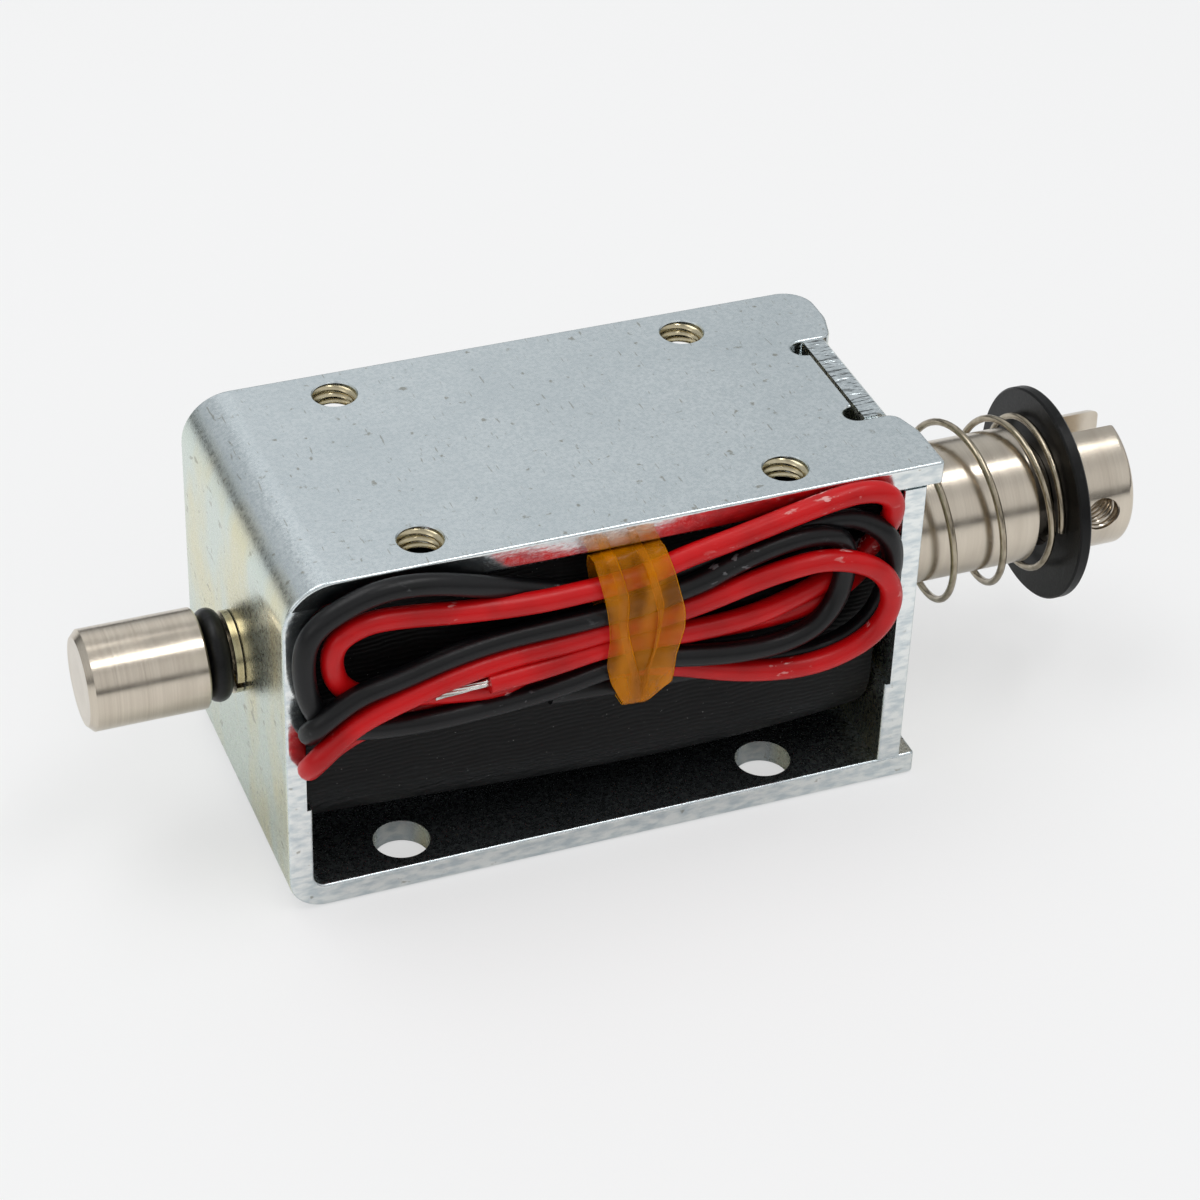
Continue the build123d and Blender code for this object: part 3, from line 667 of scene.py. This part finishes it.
# %% Return spring
SPRING_WIRE_RADIUS = 0.3
LARGE_RADIUS = 8.0
SMALL_RADIUS = 6.4
FIRST_PITCH = 1.45
LAST_PITCH = 0.85
OPEN_TURNS = 3
STEPS_PER_TURN = 56
WIRE_SIDES = 12
spring_low, spring_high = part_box("return_spring")
spring_start = spring_low.x / MM + SPRING_WIRE_RADIUS
spring_end = spring_high.x / MM - SPRING_WIRE_RADIUS
open_length = spring_end - spring_start - FIRST_PITCH - LAST_PITCH


def spring_point(turns):
    """Place of the wire's middle after that many turns, which start at the front."""
    opened = min(max(turns - 1, 0), OPEN_TURNS)
    closed = max(turns - 1 - OPEN_TURNS, 0)
    x = spring_start + FIRST_PITCH * min(turns, 1) + open_length * opened / OPEN_TURNS + LAST_PITCH * closed
    r = LARGE_RADIUS + (SMALL_RADIUS - LARGE_RADIUS) * opened / OPEN_TURNS
    a = tau * turns
    return Vector((x * MM, -r * cos(a) * MM, AXIS_Z - r * sin(a) * MM))


total_turns = OPEN_TURNS + 2
spring_line = [spring_point(i / STEPS_PER_TURN) for i in range(total_turns * STEPS_PER_TURN + 1)]
spring_rows = tube_rows(spring_line, SPRING_WIRE_RADIUS * MM, WIRE_SIDES)
spring = skin("spring_coils", spring_rows, spring_wire, close_rows=True, close_ends=True)
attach(spring, "frame")
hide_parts("return_spring")
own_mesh(spring)
print("wire in the spring:", round(line_length(spring_line) / MM), "mm")

# %% [markdown]
# ## The film band
# A few turns of film pull the wires together. The film has crumpled into three folds that stand side by side,
# lean back over the wires at the top and gather in one flap at the foot. Each fold is a closed sleeve round
# the wires, between a left and a right outline that follow the picture. The outlines are given as height and
# place along the frame, in mm.

# %% Film band
BAND_BACK_Y = -12.2
BAND_TOP_Z = 28.2
BAND_FOOT_Z = 14.6
FILM_THICKNESS = 0.09
SLEEVE_ROWS = 16
SLEEVE_STEPS = 120
SIDE_CURL = 0.35
CRUMPLE = 0.22
LEAN = 1.1
LEAN_FROM_Z = 26.4
GATHER = 0.25
GATHER_FROM_Z = 18.0
GATHER_HEIGHT = 3.0
FIRST_LEFT = [(14.6, -0.2), (15.2, -0.35), (16.0, -0.75), (17.4, -1.4), (19.2, -1.8), (20.4, -1.75),
              (22.0, -1.6), (24.5, -2.0), (26.5, -2.4), (28.2, -2.6)]
FIRST_RIGHT = [(14.6, 1.7), (15.6, 1.5), (16.6, 1.2), (17.7, 0.9), (19.3, 0.45), (21.3, 0.0), (22.7, -0.2),
               (24.0, -0.1), (25.2, -0.2), (26.7, -0.6), (28.2, -0.9)]
MIDDLE_LEFT = [(14.6, 0.1), (18.0, 0.2), (21.6, -0.7), (23.0, -0.9), (24.4, -0.9), (25.6, -1.0), (28.2, -1.6)]
MIDDLE_RIGHT = [(14.6, 1.6), (18.0, 1.8), (20.8, 2.6), (23.6, 2.8), (25.6, 2.3), (27.0, 1.9), (28.2, 1.5)]
LAST_LEFT = [(14.6, 0.8), (16.6, 1.0), (17.8, 1.2), (18.8, 1.6), (20.3, 2.0), (21.7, 2.15), (23.1, 2.2),
             (25.0, 1.8), (26.8, 1.3), (28.2, 0.9)]
LAST_RIGHT = [(14.6, 2.0), (15.2, 2.2), (15.9, 2.8), (16.5, 3.6), (17.6, 3.75), (19.0, 3.85), (20.3, 4.2),
              (21.6, 4.45), (23.1, 4.35), (24.5, 4.0), (26.1, 3.6), (28.2, 3.0)]


def edge_at(edge, z):
    """Where an outline of the band is at that height."""
    for (low, x0), (high, x1) in zip(edge, edge[1:]):
        if z <= high:
            return x0 + (x1 - x0) * min(max((z - low) / (high - low), 0), 1)
    return edge[-1][1]


def fold_sleeve(name, left, right, front_y, lift, seed):
    """A sleeve round the wires, between two outlines. Lift raises its top, and seed varies its crumples.

    Its front curls forward at both sides, leans back over the wires at the top and gathers at the foot.
    """
    rows = []
    middle_y = (BAND_BACK_Y + front_y) / 2
    half_depth = (BAND_BACK_Y - front_y) / 2
    middle_z = (BAND_TOP_Z + BAND_FOOT_Z) / 2
    half_height = (BAND_TOP_Z - BAND_FOOT_Z) / 2
    for j in range(SLEEVE_ROWS + 1):
        across = j / SLEEVE_ROWS
        row = []
        for i in range(SLEEVE_STEPS):
            a = tau * i / SLEEVE_STEPS
            depth = (abs(cos(a)) ** 0.5) * (1 if cos(a) > 0 else -1)
            rise = (abs(sin(a)) ** 0.55) * (1 if sin(a) > 0 else -1)
            z = middle_z + half_height * rise
            x = edge_at(left, z) * (1 - across) + edge_at(right, z) * across
            front = max(depth, 0)
            crumple = CRUMPLE * noise.noise(Vector((across * 1.4, seed, z * 0.3)))
            curl = SIDE_CURL * (2 * across - 1) ** 2
            lean = LEAN * min(max((z - LEAN_FROM_Z) / (BAND_TOP_Z - LEAN_FROM_Z), 0), 1) ** 1.6
            gather = GATHER * min(max((GATHER_FROM_Z - z) / GATHER_HEIGHT, 0), 1)
            y = middle_y - half_depth * depth + front * (curl + crumple + lean - gather)
            raised = (lift + 0.5 * (across - 0.5)) * max(rise, 0) ** 4 * (0.4 + 0.6 * front)
            row.append(Vector((x * MM, y * MM, (z + raised) * MM)))
        rows.append(row)
    sleeve = skin(name, rows, film, close_rows=True)
    sleeve.data.materials.append(film_edge)
    thick = sleeve.modifiers.new("film thickness", "SOLIDIFY")
    thick.thickness = FILM_THICKNESS * MM
    thick.offset = -1
    thick.material_offset_rim = 1
    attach(sleeve, "frame")
    return sleeve


band = [
    fold_sleeve("film_band", FIRST_LEFT, FIRST_RIGHT, front_y=-16.05, lift=0.0, seed=1.0),
    fold_sleeve("film_band_middle_fold", MIDDLE_LEFT, MIDDLE_RIGHT, front_y=-15.75, lift=0.1, seed=5.0),
    fold_sleeve("film_band_right_fold", LAST_LEFT, LAST_RIGHT, front_y=-16.07, lift=0.15, seed=9.0),
]
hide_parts("lead_band")
print("folds in the band:", len(band))

# %% [markdown]
# ## The bare ends of the leads
# The strands under the insulation are twisted and dipped in solder. Seven thin strands, one in the middle and
# six turned round it, show the twist through the solder. The black lead ends behind the others. Each end goes
# from the middle of its wire's cut face to the tip of the bare part, in mm.

# %% Tinned strands
STRAND_RADIUS = 0.11
STRAND_SPACING = 1.84
STRAND_TWIST = 0.35
STRAND_STEPS = 24
STRAND_SIDES = 10
STRANDS_ROUND = 6
BARE_ENDS = {
    "red": ((-11.1, -15.4, 19.85), (-15.4, -15.4, 19.55)),
    "black": ((-5.3, -13.0, 15.6), (-9.7, -13.0, 15.9)),
}


def strand_line(bare_from, bare_to, index):
    """The middle line of one strand. The first runs along the end's axis, and the others go round it."""
    run = bare_to - bare_from
    side = Vector((0, 1, 0))
    other = run.normalized().cross(side)
    offset = 0 if index == 0 else STRAND_RADIUS * STRAND_SPACING
    line = []
    for i in range(STRAND_STEPS + 1):
        a = tau * (index / STRANDS_ROUND + STRAND_TWIST * i / STRAND_STEPS)
        line.append((bare_from + run * i / STRAND_STEPS + (side * cos(a) + other * sin(a)) * offset) * MM)
    return line


strands = {"red": [], "black": []}
for colour, (bare_from, bare_to) in BARE_ENDS.items():
    for index in range(STRANDS_ROUND + 1):
        line = strand_line(Vector(bare_from), Vector(bare_to), index)
        rows = tube_rows(line, STRAND_RADIUS * MM, STRAND_SIDES)
        strand = skin(f"{colour}_tinned_strand_{index}", rows, tinned, close_rows=True, close_ends=True)
        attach(strand, "frame")
        strands[colour].append(strand)
    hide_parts(f"{colour}_lead_end")
print("strands in each end:", len(strands["red"]))

# %% [markdown]
# ## The leads on the frame
# Each wire is attached to the frame's body, the CAD lead and the hank are hidden in its place, and its centre
# line is found.

# %% Leads on the frame
for wire, body_slot, cad_name, goes_with in (
    (red_wire, "red_insulation", "red_lead", strands["red"] + band),
    (black_wire, "black_insulation", "black_lead", strands["black"]),
):
    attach(wire, "frame")
    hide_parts(cad_name, "lead_hank")
    line = centre_line(wire)

# %% [markdown]
# ## Threads
# The four holes in the top plate are tapped M3.5, and the cross hole in the plunger is tapped M3. In CAD they
# are plain holes as wide as the thread. Here each gets the thread's own ridge: a helix of one ridge profile
# that stands inwards from the wall of the hole. The profile is given as height, in mm, and as a share of the
# pitch.

# %% Thread ridges
TOP_THREAD = {"depth": 0.34, "pitch": 0.6, "length": 1.7}
CROSS_THREAD = {"depth": 0.27, "pitch": 0.5, "length": 2.9}
THREAD_STEPS = 40
ROOT_SUNK = 0.02
MOUTH_SUNK = 0.06
CROSS_MOUTH_SUNK = 0.3
CROSS_FAR_START = 2.1


def thread_ridge(name, centre, along, radius, depth, pitch, length, body, material):
    """A helical ridge on the wall of a hole. Centre is the hole's mouth, and along points into it."""
    steps = length / pitch * THREAD_STEPS
    side = along.orthogonal().normalized()
    other = along.cross(side)
    profile = ((ROOT_SUNK, 0.0), (-depth, 0.36), (-depth, 0.5), (ROOT_SUNK, 0.86))
    rows = []
    for i in range(int(steps) + 1):
        a = tau * i / THREAD_STEPS
        out = side * cos(a) + other * sin(a)
        reach = min(1.0, i / THREAD_STEPS * 2, (steps - i) / THREAD_STEPS * 2)
        middle = centre + along * (pitch * i / THREAD_STEPS)
        rows.append([(middle + out * (radius + offset * max(reach, 0.05)) + along * (share * pitch)) * MM
                     for offset, share in profile])
    ridge = skin(name, rows, material)
    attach(ridge, body)
    return ridge


mounts = {mount["name"]: mount for mount in frame["record"]["mounts"]}
top_holes = mounts["top_tapped_holes"]
hole_middle = Vector(top_holes["pos_m"]) / MM
half_x = top_holes["dims"]["spacing_x_mm"] / 2
half_y = top_holes["dims"]["spacing_y_mm"] / 2
for number, (sx, sy) in enumerate(((-1, -1), (1, -1), (-1, 1), (1, 1)), start=1):
    mouth = hole_middle + Vector((sx * half_x, sy * half_y, -MOUTH_SUNK))
    thread_ridge(f"top_thread_{number}", mouth, Vector((0, 0, -1)), top_holes["dims"]["hole_r_mm"],
                 **TOP_THREAD, body="frame", material=golden_steel)

cross_hole = mounts["clevis_cross_hole"]
cross_along = -Vector(cross_hole["axis"])
cross_middle = Vector(cross_hole["pos_m"]) / MM
plunger_radius = (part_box("plunger")[1].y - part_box("plunger")[0].y) / 2 / MM
for number, start in enumerate((CROSS_MOUTH_SUNK - plunger_radius, CROSS_FAR_START), start=1):
    thread_ridge(f"m3_thread_{number}", cross_middle + cross_along * start, cross_along,
                 cross_hole["dims"]["r_mm"], **CROSS_THREAD, body="plunger", material=stainless)
print("plunger radius", round(plunger_radius, 2), "mm")

# %% [markdown]
# ## Floor, light and background
# The object stands on white paper under soft light. Metal shows what stands round it, so the surroundings
# matter more than the lamps: pale walls, brightest in front, under a greyer ceiling, with a dark band low all
# round and a bright patch high at the back. The camera itself sees plain white in place of this room, and the
# floor is mixed with the same white for it.

# %% Floor
WHITE = paint("#f7f7f7")
FLOOR_REACH = 3.0
FLOOR_DROP = 0.0001
WHITE_SHARE = 0.6
floor_mesh = bpy.data.meshes.new("floor")
corners = [(x * FLOOR_REACH, y * FLOOR_REACH, 0) for x, y in ((-1, -1), (1, -1), (1, 1), (-1, 1))]
floor_mesh.from_pydata(corners, [], [(0, 1, 2, 3)])
floor = bpy.data.objects.new("floor", floor_mesh)
floor.location.z = -FLOOR_DROP
bpy.context.scene.collection.objects.link(floor)
paper, paper_tree = empty_material("white_paper")
rays = add_node(paper_tree, "LightPath")
matt = add_node(paper_tree, "BsdfDiffuse", Color=paint("#f4f4f4"))
plain = add_node(paper_tree, "Emission", Color=WHITE, Strength=1.0)
seen = add_node(paper_tree, "Math", rays.outputs["Is Camera Ray"], WHITE_SHARE, operation="MULTIPLY")
surface = add_node(paper_tree, "MixShader", seen, matt, plain)
add_node(paper_tree, "OutputMaterial", Surface=surface)
floor_mesh.materials.append(paper)

# %% World
# Places from front to back and from low to high are parts of the direction, from -1 to 1
BACK_WALL_FROM = (-0.1, 0.3)
DARK_BAND_UP_TO = (0.08, 0.26)
CEILING_FROM = (0.62, 0.85)
GLOW_TOWARDS = Vector((0.1, 0.75, 0.6)).normalized()
GLOW_FROM = 0.94
GLOW_SHARE = 0.8
world = bpy.data.worlds.new("studio")
bpy.context.scene.world = world
world.use_nodes = True
sky = world.node_tree
sky.nodes.clear()
direction = add_node(sky, "TexCoord").outputs["Generated"]
towards = add_node(sky, "SeparateXYZ", direction)
behind = add_node(sky, "MapRange", towards.outputs[1], *BACK_WALL_FROM)
walls = add_node(sky, "Mix", behind, paint("#dcddde"), paint("#c3c6c8"), data_type="RGBA")
above_band = add_node(sky, "MapRange", towards.outputs[2], *DARK_BAND_UP_TO)
room = add_node(sky, "Mix", above_band, paint("#3a3a3a"), walls, data_type="RGBA")
overhead = add_node(sky, "MapRange", towards.outputs[2], *CEILING_FROM)
roofed = add_node(sky, "Mix", overhead, room, paint("#b4b6b8"), data_type="RGBA")
to_glow = add_node(sky, "VectorMath", direction, GLOW_TOWARDS, operation="DOT_PRODUCT").outputs["Value"]
glow = add_node(sky, "MapRange", to_glow, GLOW_FROM, 1.0, 0.0, GLOW_SHARE)
lit = add_node(sky, "Mix", glow, roofed, paint("#f4f6f8"), data_type="RGBA")
background = add_node(sky, "Background", Color=lit, Strength=1.0)
blank = add_node(sky, "Background", Color=WHITE, Strength=1.0)
camera_ray = add_node(sky, "LightPath").outputs["Is Camera Ray"]
chosen = add_node(sky, "MixShader", camera_ray, background, blank)
add_node(sky, "OutputWorld", Surface=chosen)


# %% Lamps
def softbox(name, place_mm, aim_mm, size_mm, watts):
    """A rectangular lamp at one place that shines at another."""
    data = bpy.data.lights.new(name, "AREA")
    data.shape = "RECTANGLE"
    data.size, data.size_y = size_mm[0] * MM, size_mm[1] * MM
    data.energy = watts
    lamp = bpy.data.objects.new(name, data)
    lamp.location = Vector(place_mm) * MM
    lamp.rotation_euler = (Vector(aim_mm) - Vector(place_mm)).to_track_quat("-Z", "Y").to_euler()
    bpy.context.scene.collection.objects.link(lamp)
    return lamp


softbox("overhead_strip", (150, -110, 500), (0, 0, 10), (360, 90), 0.6)
softbox("overhead_softbox", (-160, 120, 520), (0, 0, 10), (380, 300), 0.8)
softbox("left_panel", (-520, -160, 240), (0, 0, 15), (240, 240), 0.15)
